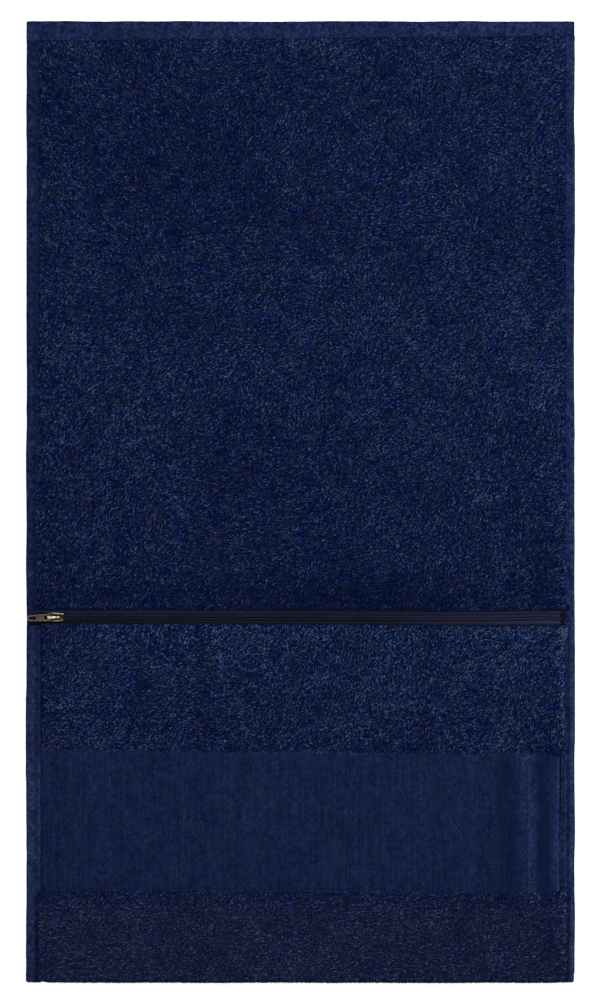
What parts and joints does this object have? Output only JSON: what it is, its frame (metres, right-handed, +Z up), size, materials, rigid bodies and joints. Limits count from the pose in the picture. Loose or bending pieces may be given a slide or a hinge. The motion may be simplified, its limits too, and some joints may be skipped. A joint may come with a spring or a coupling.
{
  "type": "zipped pocket towel",
  "caption": "Rectangular terry towel whose lower end is folded up to the front as a flat pocket, closed along its mouth by a coil zip with a brass slider and pull.",
  "frame": {"origin": "centre of the towel's underside as it lies flat, on the surface it rests on", "axes": "+X across the width, towards the zip's closed-to-open travel; +Y along the length, from the pocket's fold to the plain hemmed end; +Z up, from the back of the cloth to its front"},
  "size_m": [0.5, 0.875, 0.0133],
  "materials": {
    "terry": "navy looped terry pile",
    "border": "flat woven dobby border with fine ribs",
    "hem": "turned flat weave hem",
    "zip_tape": "herringbone zip tape",
    "zip_coil": "polyester coil, satin",
    "thread": "polyester sewing thread",
    "old_brass": "antique brass plating, worn bright on the edges"
  },
  "bodies": {
    "towel": {"back_cloth_pocket_end": "terry", "bottom_fold": "terry", "pocket_front_below_border": "terry", "pocket_border_band": "border", "side_hem_left_pocket_end": "hem", "side_hem_right_pocket_end": "hem", "pocket_side_hem_left": "hem", "pocket_side_hem_right": "hem", "zip_tape_upper": "zip_tape", "zip_coil_upper": "zip_coil", "bar_tack_left": "thread", "bar_tack_right": "thread", "hem_seam_left_zip_to_fold": "thread", "hem_seam_right_zip_to_fold": "thread", "pocket_seam_left": "thread", "pocket_seam_right": "thread", "zip_seam_upper": "thread"},
    "plain_end": {"back_cloth_plain_end": "terry", "side_hem_left_plain_end": "hem", "side_hem_right_plain_end": "hem", "top_hem": "hem", "hem_seam_left_plain_end": "thread", "hem_seam_right_plain_end": "thread", "top_hem_seam": "thread"},
    "pocket_lip": {"pocket_lip_terry": "terry", "zip_tape_lower": "zip_tape", "zip_coil_lower": "zip_coil", "zip_seam_lower": "thread"},
    "zip_slider": {"slider_body": "old_brass", "slider_bridge": "old_brass"},
    "pull": {"pull_tab": "old_brass"}
  },
  "joints": [
    {"name": "zip_slide", "type": "slide", "parent": "towel", "child": "zip_slider", "axis": [1, 0, 0], "range_m": [0, 0.45], "deforming": ["zip_coil_upper", "zip_coil_lower", "zip_tape_lower"]},
    {"name": "pull_flip", "type": "hinge", "parent": "zip_slider", "child": "pull", "pos_m": [-0.228, -0.1052, 0.01135], "axis": [-0.0436, 0.999, 0], "range_deg": [0, 150]},
    {"name": "pocket_mouth", "type": "hinge", "parent": "towel", "child": "pocket_lip", "pos_m": [0, -0.2281, 0.0125], "axis": [1, 0, 0], "range_deg": [0, 20]},
    {"name": "towel_fold", "type": "hinge", "parent": "towel", "child": "plain_end", "pos_m": [0, 0.176, 0.0047], "axis": [1, 0, 0], "range_deg": [0, 179.5]}
  ],
  "couplings": [
    {"joint": "pocket_mouth", "follows": "zip_slide", "rad_per_m": 0.775}
  ]
}
